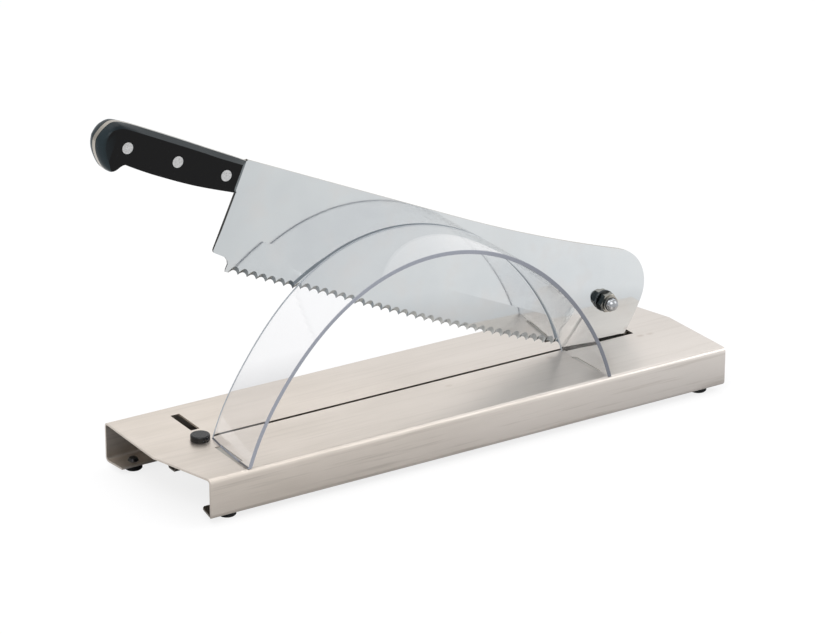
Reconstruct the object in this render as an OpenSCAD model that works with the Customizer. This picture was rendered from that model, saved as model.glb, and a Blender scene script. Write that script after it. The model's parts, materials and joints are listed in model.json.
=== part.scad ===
// Bread guillotine slicer: a folded steel base, a hinged blade with a handle, and a clear arched guard.
// Millimetres, +Z up. X runs along the blade with the handle at -X, and the front wall is at -Y.
// The origin is at the middle of the whole object's box, on the surface that the feet stand on.
// Pieces are placed from the left end (X), the front wall (Y) and the plate's top face (Z), then moved once.

/* [Base] */
// Length of the folded base
base_l = 449; // [400:0.5:520]
// Width of the base over its two walls
base_w = 125; // [120:1:150]
// Height from the flange's underside to the plate's top
base_h = 30; // [26:0.5:40]
// Thickness of the base's sheet
sheet = 1.5; // [1.2:0.1:2]
// Outer radius of the base's bends
bend_r = 3.5; // [3:0.1:5]
// Width of the flanges under the base
flange_w = 20; // [18:0.5:26]
// How far a cut corner reaches along the base
corner_l = 15; // [8:0.5:20]
// How far a cut corner reaches across the base
corner_w = 54.5; // [40:0.5:60]
// Width of the cross slots that take the guard's tabs
cross_w = 7; // [6.6:0.1:8]
// Length of the cross slots
cross_l = 30; // [28:0.5:32]

/* [Channel] */
// Depth of the channel below the plate's top
channel_h = 17.7; // [17:0.1:22]
// Thickness of the channel's sheet
channel_t = 1.2; // [0.8:0.1:1.5]
// Width of the channel's two flanges
channel_flange = 9; // [6:0.5:10]
// Gap between the channel's ends and the base's ends
channel_inset = 19; // [15:0.1:30]

/* [Blade] */
// Tilt of the blade at rest, from flat, handle up
rest_tilt = 24; // [20:1:32]
// Length of the blade from its handle to the hinge's centre
pivot_u = 341.2; // [330:0.1:345]
// Depth of the hinge's centre below the blade's spine
pivot_v = 31; // [29:0.1:32]
// Width of the blade from spine to tooth tips
blade_w = 79; // [77:0.5:82]
// Thickness of the blade
blade_t = 2.5; // [2:0.1:2.6]
// Thickness left at the cutting edge
edge_t = 0.7; // [0.5:0.1:1]
// Height of the ground bevel on the blade's front
bevel_h = 27; // [22:1:30]
// Pitch of the teeth
pitch = 7.9; // [7.5:0.1:8.5]
// Depth of the gullets between the teeth
gullet = 2.5; // [2:0.1:2.6]

/* [Hinge] */
// Place of the hinge's centre from the base's left end
pivot_x = 381.9; // [377:0.1:387]
// Height of the hinge's centre above the plate
pivot_h = 31.3; // [30.5:0.1:32]
// Diameter of the hinge bolt
bolt_d = 8; // [6:0.5:8]
// Thickness of the upright ear
ear_t = 2.5; // [2:0.1:3]

/* [Handle] */
// Length of the handle from the blade to the butt
handle_l = 119.2; // [110:0.1:130]
// Depth of the handle from its top to the hook's tip
handle_w = 32; // [30:0.5:34]
// Thickness of the steel tang
tang_t = 4; // [3:0.1:5]
// Thickness of each plastic scale
scale_t = 7.4; // [6:0.1:9]
// Diameter of the rivet heads
rivet_d = 8; // [7:0.1:9]

/* [Guard] */
// Thickness of the clear sheet
guard_t = 3; // [2.5:0.1:3.2]
// Half of the guard's span at the plate
guard_half = 151.8; // [140:0.1:152]
// Height of the guard above the plate
guard_h = 126.2; // [110:0.1:135]
// Place of the guard's middle from the base's left end
guard_x = 196.7; // [195:0.1:201]
// Gap between the base's front and the guard
guard_front = 1.8; // [1:0.1:8]
// Gap between the guard and the blade's front face
guard_gap = 5; // [1.5:0.1:8]
// How far the tabs reach below the plate's top
tab_drop = 6; // [4:0.5:8]
// Width of the tabs
tab_w = 27; // [20:0.5:27.5]

/* [Stop and feet] */
// Diameter of the rubber stop
stop_d = 14; // [10:0.1:15]
// Height of the rubber stop
stop_h = 4.3; // [3:0.1:5]
// Diameter of the rubber feet
foot_d = 12.8; // [10:0.1:13]
// Height of the feet below the flange
foot_h = 4.8; // [2.5:0.1:5.5]

/* [Hidden] */
$fn = 64;

// Overrun of every cut past the face that it opens
over = 1;
// Radial clearance of turning and pushed-in fits
fit = 0.05;
// Radial clearance of holes that a fastener or a foot passes
hole_gap = 0.2;

// The slot that the blade dips into, and the well that the ear stands in
slot_w = 2.8;
slot_lead = 1.5;
slot_end_gap = 2;
well_front = 3.5;
well_back = 6;
well_gap = 1.4;
cross_edge = 16.8;
// From the guard's leg to the slot's outer edge, at the plate
cross_outer_gap = 1.1;

// The flanges' slanted ends
front_end_shares = [[0.85, 0], [1.05, 0.1], [1.2, 0.8], [1.24, 0.92], [1.36, 1]];
back_end_lean = 2.2;

// The channel's cavity starts this far in front of the slot's middle
cavity_lead = 3.8;
channel_bend = 1;

// The ear's foot reaches this far along the base on either side of the hinge
ear_lead = 31;
ear_trail = 17;
ear_r = 11;
ear_foot_gap = 0.6;

// Screws that hold the ear to the channel's back wall
screw_d = 4;
screw_head_d = 8;
screw_depth = 9;
screw_lead = 20;
screw_trail = 9;
screw_tail = 1.6;
screw_washer_d = 9;
screw_washer_t = 0.8;
screw_nut_af = 7;
screw_nut_t = 3.2;

// The blade's outline: spine, round end and heel
spine_flat = 185;
spine_r = 1300;
end_u = 342.5;
end_v = 22;
end_r = 31.2;
back_r = 147;
heel_v = 72;
heel_r = 24;
edge_flat = 165;
edge_r = 1700;
// The handle end of the blade, as shares of its width: left edge, rounded corner, landing, notch and toe
toe_shares = [
    [0, 0.308], [-0.01, 0.827], [-0.009, 0.843], [0.004, 0.859], [0.028, 0.864],
    [0.056, 0.866], [0.133, 0.875], [0.168, 0.899], [0.185, 0.928], [0.184, 0.98], [0.19, 1]
];
// The point of the landing that comes down on the stop
landing_share = [0.104, 0.872];
stop_gap = 0.3;
first_gullet = 22.2;
last_gullet = 315;
grind_r = 9;
grind_tilt = 20;
grind_l = 30;

// Hinge pieces, from the front: round bolt end, nut, washers, bush, ear, washer, bolt head
nut_af = 13;
nut_t = 6;
collar_d = 12;
collar_t = 2;
collar_lip = 0.7;
ring_inset = 0.3;
nut_washer_t = 0.6;
friction_t = 0.4;
washer_d = 16;
bolt_washer_t = 1.6;
bolt_head_t = 5.3;
bolt_out = 5.4;
bush_wall = 1;
bush_flange = 0.8;

// Planes across the base, from the front wall, and the height of its top
slot_y = base_w / 2;
cavity_front = slot_y - cavity_lead;
blade_front = slot_y - slot_lead;
blade_back = blade_front + blade_t;
ear_front = blade_back + bush_flange;
ear_back = ear_front + ear_t;
top_z = foot_h + base_h;

// The handle's outline, from the blade along the top, round the butt and the hook, and back along the belly,
// as shares of its length and depth
handle_shares = [
    [0.004, 0.031], [0.09, 0.014], [0.277, -0.011], [0.503, -0.048], [0.78, -0.074], [0.864, -0.07],
    [0.914, -0.047], [0.946, 0.006], [0.972, 0.125], [0.992, 0.281], [1, 0.416], [0.992, 0.547],
    [0.973, 0.681], [0.943, 0.812], [0.909, 0.919], [0.881, 0.975], [0.866, 0.988], [0.851, 0.956],
    [0.836, 0.862], [0.819, 0.787], [0.797, 0.753], [0.755, 0.766], [0.638, 0.79], [0.436, 0.803],
    [0.252, 0.781], [0.084, 0.731], [0.004, 0.72]
];
curve_steps = 3;
// The line along the scales' tops, as shares of the handle's length and depth, and how far the tops
// start above it and fall away from the tang
top_line_shares = [[0, 0.023], [0.862, -0.075]];
top_rise = 0.4;
top_fall = 3.3;
// The points of the outline that the slanted lower butt follows, how far it starts outside them, and
// how far it and the butt lean in
butt_from = 11;
butt_to = 15;
lower_bow = 1.5;
lower_lean = 3.2;
butt_lean = 4;
// The rounding of the butt's edge, as shares of the scale's thickness and of the lean
edge_shares = [[0, 0], [0.46, 0], [0.7, 0.16], [0.88, 0.5], [1, 1]];
front_slant = 6.2;
// The tang thickens this far into the blade
tang_root = 2;
// Rivets, as shares of the handle's length and depth
rivet_shares = [[0.824, 0.394], [0.4815, 0.4], [0.1426, 0.4125]];
rivet_head_t = 1.2;
rivet_pin_d = 4;
rivet_tube_d = 5.6;
rivet_end_gap = 1;

// The guard's outer face from the crown to the right foot, as shares of its half span and its height
guard_shares = [
    [0, 1], [0.221, 0.967], [0.362, 0.911], [0.484, 0.832], [0.6, 0.713], [0.7, 0.594],
    [0.783, 0.475], [0.851, 0.357], [0.908, 0.238], [0.955, 0.119], [1, 0]
];
tab_y = slot_y - cross_edge - (cross_l + tab_w) / 2;

// The stop's fixing
stop_round = 1;
stop_to_slot = 10.5;
stud_d = 3;
stud_in = 2.2;
stud_out = 6.5;
stud_washer_d = 7;
stud_washer_t = 0.6;
stud_nut_af = 5.5;
stud_nut_t = 2.4;

// The feet
foot_edge = 12;
foot_near = 15.3;
foot_far = 33.8;
foot_stem_d = 5;
foot_head_d = 8;
foot_head_h = 2;
foot_round = 0.8;
foot_head_tip_share = 0.7;

// Places of a blade point, seen from the hinge at a tilt
function turned_x(du, dv, tilt) = du * cos(tilt) - dv * sin(tilt);
function turned_z(du, dv, tilt) = -du * sin(tilt) - dv * cos(tilt);

// The tilt at which the landing meets the stop
land_du = pivot_u - landing_share[0] * blade_w;
land_dv = landing_share[1] * blade_w - pivot_v;
closed_tilt = atan(land_dv / land_du)
    - asin((pivot_h - stop_h - stop_gap) / sqrt(land_du * land_du + land_dv * land_dv));

// Where the toe and the heel cross the plate when the blade is down
toe_x = pivot_x + turned_x(toe_shares[10][0] * blade_w - pivot_u, blade_w - pivot_v, closed_tilt);
heel_lean = asin((heel_v - heel_r - end_v) / (back_r - heel_r));
heel_u = end_u + end_r - back_r + (back_r - heel_r) * cos(heel_lean);
heel_x = turned_x(heel_u - pivot_u, heel_v - heel_r - pivot_v, closed_tilt);
heel_z = turned_z(heel_u - pivot_u, heel_v - heel_r - pivot_v, closed_tilt);
heel_drop = pivot_h + heel_z;
slot_start = toe_x - slot_end_gap;
well_start = pivot_x - ear_lead - well_gap;
well_end = pivot_x + heel_x + sqrt(heel_r * heel_r - heel_drop * heel_drop) + well_gap;
stop_x = slot_start - stop_to_slot;

// Smooth curve through points: the value between b and c, a share s of the way, with neighbours a and d
function eased(a, b, c, d, s) =
    b + (c - a) * s / 2 + (a * 2 - b * 5 + c * 4 - d) * s * s / 2 + (b * 3 - a - c * 3 + d) * s * s * s / 2;
function smooth(pts, steps) = let (last = len(pts) - 1) [
    for (i = [0:last - 1], k = [0:steps - 1])
        eased(pts[max(i - 1, 0)], pts[i], pts[i + 1], pts[min(i + 2, last)], k / steps),
    pts[last]
];
function arc(centre, r, from, to, steps) = [
    for (i = [0:steps]) let (a = from + (to - from) * i / steps) centre + r * [cos(a), sin(a)]
];

// The guard's outer face in X and Z, from the left foot to the right one
guard_right = [for (s = guard_shares) [s[0] * guard_half, s[1] * guard_h]];
guard_edge = smooth(
    concat([for (i = [len(guard_right) - 1:-1:1]) [-guard_right[i][0], guard_right[i][1]]], guard_right),
    curve_steps
);

handle_edge = smooth([for (s = handle_shares) [-s[0] * handle_l, -s[1] * handle_w]], curve_steps);
butt_x = pivot_x + min([for (p = handle_edge) turned_x(p[0] - pivot_u, -p[1] - pivot_v, rest_tilt)]);

// Moves a piece from the base's corner to the part's own frame
module placed() {
    translate([-(butt_x + base_l) / 2, -slot_y, top_z]) children();
}

// Turns a piece from the blade's own frame (X along the spine, Z up from it) to its place at rest
module on_blade() {
    placed() translate([pivot_x, 0, pivot_h]) rotate([0, rest_tilt, 0])
        translate([-pivot_u, 0, pivot_v]) children();
}

// Extrudes a shape drawn in X and Z from one plane across the base to another
module across(from, to) {
    translate([0, to, 0]) rotate([90, 0, 0]) linear_extrude(to - from) children();
}

// Extrudes a shape drawn in Y and Z along the base
module along(from, to) {
    translate([from, 0, 0]) rotate([90, 0, 90]) linear_extrude(to - from) children();
}

// Puts a piece on the hinge's axis, its own Z axis pointing to the back
module on_hinge(y) {
    placed() translate([pivot_x, y, pivot_h]) rotate([-90, 0, 0]) children();
}

// A flat ring
module washer(outer, inner, height) {
    difference() {
        cylinder(d = outer, h = height);
        translate([0, 0, -over]) cylinder(d = inner, h = height + over + over);
    }
}

// A hexagon nut, its corners rounded off at both ends, with a bore
module hex_nut(af, height, bore) {
    corner_d = af / cos(30);
    difference() {
        intersection() {
            cylinder(d = corner_d, h = height, $fn = 6);
            cylinder(d1 = af, d2 = af + height / tan(30) * 2, h = height);
            cylinder(d2 = af, d1 = af + height / tan(30) * 2, h = height);
        }
        translate([0, 0, -over]) cylinder(d = bore, h = height + over + over);
    }
}

// A quarter of a bent sheet's corner, in the quadrant that sx and sy point to
module bend(r, t, sx, sy) {
    intersection() {
        difference() {
            circle(r);
            circle(r - t);
        }
        scale([sx, sy]) square(r + over);
    }
}

// The base's folded section: top, two walls and two flanges
module base_section() {
    for (side = [0, 1]) translate([side * base_w, 0]) mirror([side, 0]) {
        translate([bend_r, -sheet]) square([slot_y - bend_r, sheet]);
        translate([0, bend_r - base_h]) square([sheet, base_h - bend_r - bend_r]);
        translate([bend_r, -base_h]) square([flange_w - bend_r, sheet]);
        translate([bend_r, -bend_r]) bend(bend_r, sheet, -1, 1);
        translate([bend_r, bend_r - base_h]) bend(bend_r, sheet, -1, -1);
    }
}

// Cuts at the left end, seen from above: the slanted corner, and the two flanges' ends
module end_cuts() {
    translate([0, 0, -base_h - over]) linear_extrude(base_h + over + over)
        polygon([[-over, -over], [corner_l, -over], [corner_l, 0], [0, corner_w], [-over, corner_w]]);
    translate([0, 0, -base_h - over]) linear_extrude(bend_r + over) {
        polygon(concat(
            [[-over, -over], [front_end_shares[0][0] * corner_l, -over]],
            [for (s = front_end_shares) [s[0] * corner_l, s[1] * flange_w]],
            [[front_end_shares[4][0] * corner_l, flange_w + over], [-over, flange_w + over]]
        ));
        translate([0, base_w]) polygon([
            [-over, 0], [0, 0], [back_end_lean, -flange_w], [back_end_lean, -flange_w - over],
            [-over, -flange_w - over]
        ]);
    }
}

// Places of the four feet
foot_spots = [
    [foot_far, foot_edge], [base_l - foot_near, foot_edge],
    [foot_near, base_w - foot_edge], [base_l - foot_far, base_w - foot_edge]
];

module base_plate() {
    color([0.84, 0.82, 0.79]) placed() difference() {
        along(0, base_l) base_section();
        for (side = [0, 1])
            translate([side * base_l, side * base_w, 0]) rotate([0, 0, side * 180]) end_cuts();
        translate([slot_start, slot_y - slot_w / 2, -sheet - over])
            cube([well_start - slot_start + over, slot_w, sheet + over + over]);
        translate([well_start, slot_y - well_front, -sheet - over])
            cube([well_end - well_start, well_front + well_back, sheet + over + over]);
        for (side = [-1, 1], y = [slot_y + cross_edge, slot_y - cross_edge - cross_l])
            translate([guard_x + side * (guard_half + cross_outer_gap - cross_w / 2), y, -sheet - over])
                translate([-cross_w / 2, 0, 0]) cube([cross_w, cross_l, sheet + over + over]);
        for (spot = foot_spots) translate([spot[0], spot[1], -base_h - over])
            cylinder(d = foot_stem_d + hole_gap, h = sheet + over + over);
        translate([stop_x, slot_y, -sheet - over])
            cylinder(d = stud_d + hole_gap + hole_gap, h = sheet + over + over);
    }
}

// The channel's hat section: flanges under the plate, two walls and a floor
module channel_section() {
    out_r = channel_bend + channel_t;
    for (side = [0, 1]) {
        wall = side == 0 ? cavity_front : ear_back;
        dir = side == 0 ? 1 : -1;
        translate([wall, 0]) mirror([side, 0]) {
            translate([-out_r - channel_flange + channel_bend, -sheet - channel_t])
                square([channel_flange - channel_bend, channel_t]);
            translate([-out_r, -sheet - out_r]) bend(out_r, channel_t, 1, 1);
            translate([-channel_t, channel_bend + channel_t - channel_h])
                square([channel_t, channel_h - sheet - out_r - out_r]);
            translate([channel_bend, out_r - channel_h]) bend(out_r, channel_t, -1, -1);
        }
    }
    translate([cavity_front + channel_bend, -channel_h])
        square([ear_back - cavity_front - channel_bend - channel_bend, channel_t]);
}

// Places of the two screws along the base
screw_spots = [pivot_x - screw_lead, pivot_x + screw_trail];

module slot_channel() {
    color([0.6, 0.59, 0.57]) placed() difference() {
        along(channel_inset, base_l - channel_inset) channel_section();
        for (x = screw_spots) translate([x, ear_back - over, -screw_depth]) rotate([-90, 0, 0])
            cylinder(d = screw_d + hole_gap + hole_gap, h = channel_t + over + over);
    }
}

// The ear: a round head on the hinge's axis and straight flanks down to a foot in the channel
module pivot_bracket() {
    foot_z = ear_foot_gap + channel_t - channel_h;
    color([0.7, 0.7, 0.69]) placed() difference() {
        across(ear_front, ear_back) translate([pivot_x, 0]) {
            translate([0, pivot_h]) circle(ear_r);
            polygon([
                [-ear_lead, foot_z], [ear_trail, foot_z], [ear_trail, 0],
                ear_touch(ear_trail, 1), ear_touch(ear_lead, -1), [-ear_lead, 0]
            ]);
        }
        translate([pivot_x, ear_front - over, pivot_h]) rotate([-90, 0, 0])
            cylinder(d = bolt_d + fit + fit, h = ear_t + over + over);
        for (x = screw_spots) translate([x, ear_front, -screw_depth]) rotate([-90, 0, 0]) {
            translate([0, 0, -over]) cylinder(d = screw_d + hole_gap + hole_gap, h = ear_t + over + over);
            translate([0, 0, -fit]) cylinder(
                d1 = screw_head_d + fit + fit, d2 = screw_d + fit + fit, h = (screw_head_d - screw_d) / 2);
        }
    }
}

// Where the flank from a foot's corner touches the ear's round head
function ear_touch(reach, side) =
    let (a = atan2(-pivot_h, reach) + acos(ear_r / sqrt(reach * reach + pivot_h * pivot_h)))
    [side * ear_r * cos(a), pivot_h + ear_r * sin(a)];

module bracket_screws() {
    head_t = (screw_head_d - screw_d) / 2;
    tail = ear_t + channel_t + screw_washer_t + screw_nut_t + screw_tail;
    color([0.66, 0.66, 0.66]) placed()
        for (x = screw_spots) translate([x, ear_front, -screw_depth]) rotate([-90, 0, 0]) {
            cylinder(d1 = screw_head_d, d2 = screw_d, h = head_t);
            translate([0, 0, head_t]) cylinder(d = screw_d, h = tail - head_t);
        }
}

module bracket_washers() {
    color([0.72, 0.72, 0.72]) placed()
        for (x = screw_spots) translate([x, ear_back + channel_t, -screw_depth]) rotate([-90, 0, 0])
            washer(screw_washer_d, screw_d + fit + fit, screw_washer_t);
}

module bracket_nuts() {
    color([0.72, 0.72, 0.72]) placed()
        for (x = screw_spots)
            translate([x, ear_back + channel_t + screw_washer_t, -screw_depth]) rotate([-90, 0, 0])
                hex_nut(screw_nut_af, screw_nut_t, screw_d + fit + fit);
}

// A push-in foot: a disc under the flange, a stem through it and a tapered head above
module foot(spot) {
    disc = foot_d / 2;
    stem = foot_stem_d / 2;
    head = foot_head_d / 2;
    color([0.09, 0.09, 0.09]) placed() translate([spot[0], spot[1], -top_z]) rotate_extrude() polygon([
        [0, 0], [disc - foot_round, 0], [disc, foot_round], [disc, foot_h - foot_round],
        [disc - foot_round, foot_h], [stem, foot_h], [stem, foot_h + sheet], [head, foot_h + sheet],
        [head * foot_head_tip_share, foot_h + sheet + foot_head_h], [0, foot_h + sheet + foot_head_h]
    ]);
}

module foot_front_left() { foot(foot_spots[0]); }
module foot_front_right() { foot(foot_spots[1]); }
module foot_back_left() { foot(foot_spots[2]); }
module foot_back_right() { foot(foot_spots[3]); }

// The rubber button, moulded round the head of its stud
module stop_bumper() {
    r = stop_d / 2;
    color([0.09, 0.1, 0.12]) placed() translate([stop_x, slot_y, 0]) difference() {
        rotate_extrude() {
            square([r, stop_h - stop_round]);
            square([r - stop_round, stop_h]);
            translate([r - stop_round, stop_h - stop_round]) circle(stop_round);
        }
        translate([0, 0, -over]) cylinder(d = stud_d + fit + fit, h = stud_in + over);
    }
}

module stop_stud() {
    color([0.66, 0.66, 0.66]) placed() translate([stop_x, slot_y, -stud_out])
        cylinder(d = stud_d, h = stud_out + stud_in);
}

module stop_washer() {
    color([0.72, 0.72, 0.72]) placed() translate([stop_x, slot_y, -sheet - stud_washer_t])
        washer(stud_washer_d, stud_d + fit + fit, stud_washer_t);
}

module stop_nut() {
    color([0.72, 0.72, 0.72]) placed()
        translate([stop_x, slot_y, -sheet - stud_washer_t - stud_nut_t]) rotate([0, 0, 30])
            hex_nut(stud_nut_af, stud_nut_t, stud_d + fit + fit);
}

// One face of the guard's sheet, at a depth below its outer one, carried on straight to the tabs' ends
function guard_run(i) =
    let (run = guard_edge[min(i + 1, len(guard_edge) - 1)] - guard_edge[max(i - 1, 0)]) run / norm(run);
function guard_end(point, run) = point - run * (point[1] + tab_drop) / run[1];
function guard_face(depth) =
    let (
        last = len(guard_edge) - 1,
        face = [for (i = [0:last]) let (run = guard_run(i)) guard_edge[i] + depth * [run[1], -run[0]]]
    )
    concat([guard_end(face[0], guard_run(0))], face, [guard_end(face[last], guard_run(last))]);

module guard_section() {
    inner = guard_face(guard_t);
    polygon(concat(guard_face(0), [for (i = [len(inner) - 1:-1:0]) inner[i]]));
}

// The tabs are all that reaches below the plate's top
module guard() {
    back = blade_front - guard_gap;
    color([0.8, 0.8, 0.84, 0.35]) placed() translate([guard_x, 0, 0]) difference() {
        across(guard_front, back) guard_section();
        for (side = [-1, 1], part = [0, 1]) {
            from = part == 0 ? guard_front - over : tab_y + tab_w;
            to = part == 0 ? tab_y : back + over;
            translate([side * guard_half - cross_w, from, -tab_drop - over - over])
                cube([cross_w + cross_w, to - from, tab_drop + over + over]);
        }
    }
}

// The tooth tips' line: straight from the toe, then bending up towards the heel
function tip_v(u) =
    let (past = max(u - edge_flat, 0))
    blade_w - edge_r + sqrt(edge_r * edge_r - past * past);

// The blade's outline, clockwise from the spine at the handle
function blade_outline() =
    let (
        rise = asin((end_u - spine_flat) / (spine_r + end_r)),
        last_tip = last_gullet + pitch / 2,
        centre = [end_u, -end_v],
        back_centre = [end_u + end_r - back_r, -end_v]
    )
    concat(
        [[0, 0]],
        arc([spine_flat, spine_r], spine_r, -90, -90 + rise, 10),
        arc(centre, end_r, 90 + rise, 0, 16),
        arc(back_centre, back_r, -1, -heel_lean, 5),
        arc([heel_u, heel_r - heel_v], heel_r, -heel_lean - 6, -90, 12),
        [for (i = [0:10]) let (u = last_tip + (edge_flat - last_tip) * i / 10) [u, -tip_v(u)]],
        [for (i = [10:-1:0]) [toe_shares[i][0] * blade_w, -toe_shares[i][1] * blade_w]]
    );

// The one-sided bevel and the row of scallops ground into it from the front
module grinds() {
    lean = blade_t - edge_t;
    bevel_v = blade_w - bevel_h;
    past = (bevel_h + over) / bevel_h;
    bevel_end = -bevel_v - bevel_h * past;
    along(-over - over, end_u + end_r + over) polygon([
        [blade_front - over, -bevel_v], [blade_front, -bevel_v],
        [blade_front + lean * past, bevel_end], [blade_front - over, bevel_end]
    ]);
    for (u = [first_gullet:pitch:last_gullet]) let (ground = gullet - tip_v(u) - grind_r * sin(grind_tilt))
        translate([u, blade_back - grind_r * cos(grind_tilt), ground]) rotate([grind_tilt, 0, 0])
            cylinder(r = grind_r, h = grind_l, center = true);
}

module blade() {
    belly = handle_edge[len(handle_edge) - 1][1];
    color([0.75, 0.77, 0.79]) on_blade() difference() {
        union() {
            across(blade_front, blade_back) polygon(blade_outline());
            across(blade_front, blade_front + tang_t)
                polygon(concat([[tang_root, 0]], handle_edge, [[tang_root, belly]]));
        }
        grinds();
        translate([pivot_u, blade_front - over, -pivot_v]) rotate([-90, 0, 0])
            cylinder(d = bolt_d + fit + fit + bush_wall + bush_wall, h = blade_t + over + over);
        for (spot = rivet_shares)
            translate([-spot[0] * handle_l, blade_front - over, -spot[1] * handle_w]) rotate([-90, 0, 0])
                cylinder(d = rivet_tube_d + fit + fit, h = tang_t + over + over);
    }
}

// A plastic sleeve in the blade's hole, with a flange between the blade and the ear
module blade_bush() {
    bore = bolt_d + fit + fit;
    sleeve = bore + bush_wall + bush_wall - fit;
    color([0.9, 0.9, 0.88]) on_blade() translate([pivot_u, blade_front, -pivot_v]) rotate([-90, 0, 0])
        difference() {
            union() {
                cylinder(d = sleeve, h = blade_t + bush_flange);
                translate([0, 0, blade_t]) cylinder(d = washer_d, h = bush_flange);
            }
            translate([0, 0, -over]) cylinder(d = bore, h = blade_t + bush_flange + over + over);
        }
}

// The plan of a scale's rounded edge, from its outer face inwards, with the uncut edge at a given place
function scale_edge(place, lean) = [
    for (i = [len(edge_shares) - 1:-1:0]) [place + edge_shares[i][1] * lean, edge_shares[i][0] * scale_t]
];

// One scale, its inner face at y = 0 and its outer face at y = scale_t: the outline, cut to a section that
// falls away along the top, to a plan with a rounded butt and a slanted front, and to a leaning lower butt
module scale_body() {
    top_run = top_line_shares[1] - top_line_shares[0];
    top_lean = atan(top_run[1] * handle_w / (top_run[0] * handle_l));
    top_start = top_rise - top_line_shares[0][1] * handle_w;
    front = handle_shares[0][0] * handle_l;
    from = [-handle_shares[butt_from][0] * handle_l, -handle_shares[butt_from][1] * handle_w];
    to = [-handle_shares[butt_to][0] * handle_l, -handle_shares[butt_to][1] * handle_w];
    lower_turn = atan((to[0] - from[0]) / (from[1] - to[1]));
    difference() {
        intersection() {
            across(0, scale_t) polygon(handle_edge);
            translate([0, 0, top_start]) rotate([0, -top_lean, 0]) along(-handle_l - handle_w, handle_w)
                polygon([[0, -handle_l], [0, 0], [scale_t, -top_fall], [scale_t, -handle_l]]);
            translate([0, 0, -handle_l]) linear_extrude(handle_l * 2) polygon(concat(
                [[-front, 0], [-front - front_slant, scale_t]], scale_edge(-handle_l, butt_lean)
            ));
            translate([from[0], 0, from[1]]) rotate([0, -lower_turn, 0])
                translate([0, 0, -handle_l]) linear_extrude(handle_l * 2) polygon(concat(
                    [[handle_l * 2, 0], [handle_l * 2, scale_t]], scale_edge(-lower_bow, lower_lean)
                ));
        }
        for (spot = rivet_shares)
            translate([-spot[0] * handle_l, 0, -spot[1] * handle_w]) rotate([-90, 0, 0]) {
                translate([0, 0, -over]) cylinder(d = rivet_tube_d + fit + fit, h = scale_t);
                translate([0, 0, scale_t - rivet_head_t])
                    cylinder(d = rivet_d + fit + fit, h = rivet_head_t + over);
            }
    }
}

module handle_scale_front() {
    color([0.12, 0.13, 0.14]) on_blade() translate([0, blade_front, 0]) mirror([0, 1, 0]) scale_body();
}

module handle_scale_rear() {
    color([0.12, 0.13, 0.14]) on_blade() translate([0, blade_front + tang_t, 0]) scale_body();
}

// Two-part rivets: a pin from the front pressed into a tube from the back
module rivet_pins() {
    through = scale_t + tang_t + scale_t;
    color([0.78, 0.78, 0.77]) on_blade()
        for (spot = rivet_shares)
            translate([-spot[0] * handle_l, blade_front - scale_t, -spot[1] * handle_w]) rotate([-90, 0, 0]) {
                cylinder(d = rivet_d, h = rivet_head_t);
                cylinder(d = rivet_pin_d, h = through - rivet_head_t - rivet_end_gap);
            }
}

module rivet_tubes() {
    through = scale_t + tang_t + scale_t;
    tube_l = through - rivet_head_t;
    color([0.78, 0.78, 0.77]) on_blade()
        for (spot = rivet_shares)
            translate([-spot[0] * handle_l, blade_front + tang_t + scale_t, -spot[1] * handle_w])
                rotate([90, 0, 0]) difference() {
                    union() {
                        cylinder(d = rivet_d, h = rivet_head_t);
                        cylinder(d = rivet_tube_d, h = tube_l);
                    }
                    translate([0, 0, rivet_head_t])
                        cylinder(d = rivet_pin_d + fit + fit, h = tube_l - rivet_head_t + over);
                }
}

// The hinge bolt: hexagon head at the back, shank through the ear, round polished end in front of the nut
module pivot_bolt() {
    end_y = blade_front - friction_t - nut_washer_t - nut_t - collar_t - bolt_out;
    head_y = ear_back + bolt_washer_t;
    color([0.74, 0.74, 0.75]) {
        on_hinge(end_y + bolt_d / 2) cylinder(d = bolt_d, h = head_y - end_y);
        on_hinge(end_y + bolt_d / 2) sphere(d = bolt_d);
        on_hinge(head_y) intersection() {
            cylinder(d = nut_af / cos(30), h = bolt_head_t, $fn = 6);
            cylinder(d2 = nut_af, d1 = nut_af + bolt_head_t / tan(30) * 2, h = bolt_head_t);
        }
    }
}

module bolt_washer() {
    color([0.72, 0.72, 0.72]) on_hinge(ear_back) washer(washer_d, bolt_d + fit + fit, bolt_washer_t);
}

// The lock nut: a hexagon against the washer and a round collar that holds the plastic ring
module pivot_nut() {
    nut_y = blade_front - friction_t - nut_washer_t - nut_t;
    color([0.78, 0.78, 0.79]) {
        on_hinge(nut_y) hex_nut(nut_af, nut_t, bolt_d + fit + fit);
        on_hinge(nut_y - collar_t) washer(collar_d, collar_d - collar_lip - collar_lip, collar_t + fit);
    }
}

module nut_ring() {
    nut_y = blade_front - friction_t - nut_washer_t - nut_t;
    color([0.12, 0.13, 0.15]) on_hinge(nut_y - collar_t + ring_inset)
        washer(collar_d - collar_lip - collar_lip - fit, bolt_d + fit + fit, collar_t - ring_inset);
}

module nut_washer() {
    color([0.74, 0.74, 0.75]) on_hinge(blade_front - friction_t - nut_washer_t)
        washer(washer_d, bolt_d + fit + fit, nut_washer_t);
}

module friction_washer() {
    color([0.2, 0.2, 0.2]) on_hinge(blade_front - friction_t)
        washer(washer_d, bolt_d + fit + fit, friction_t);
}

base_plate();
slot_channel();
pivot_bracket();
bracket_screws();
bracket_washers();
bracket_nuts();
foot_front_left();
foot_front_right();
foot_back_left();
foot_back_right();
stop_bumper();
stop_stud();
stop_washer();
stop_nut();
guard();
pivot_bolt();
bolt_washer();
pivot_nut();
nut_ring();
nut_washer();
friction_washer();
blade();
blade_bush();
handle_scale_front();
handle_scale_rear();
rivet_pins();
rivet_tubes();
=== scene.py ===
# Bread guillotine slicer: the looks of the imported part.
# Metres, in the part's own frame: X along the base with the handle at -X, the front wall at -Y, +Z up.
# Names of shapes below are in millimetres, and MM turns them into metres.
import json
import math

import bmesh
import bpy
from mathutils import Matrix, Vector


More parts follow.
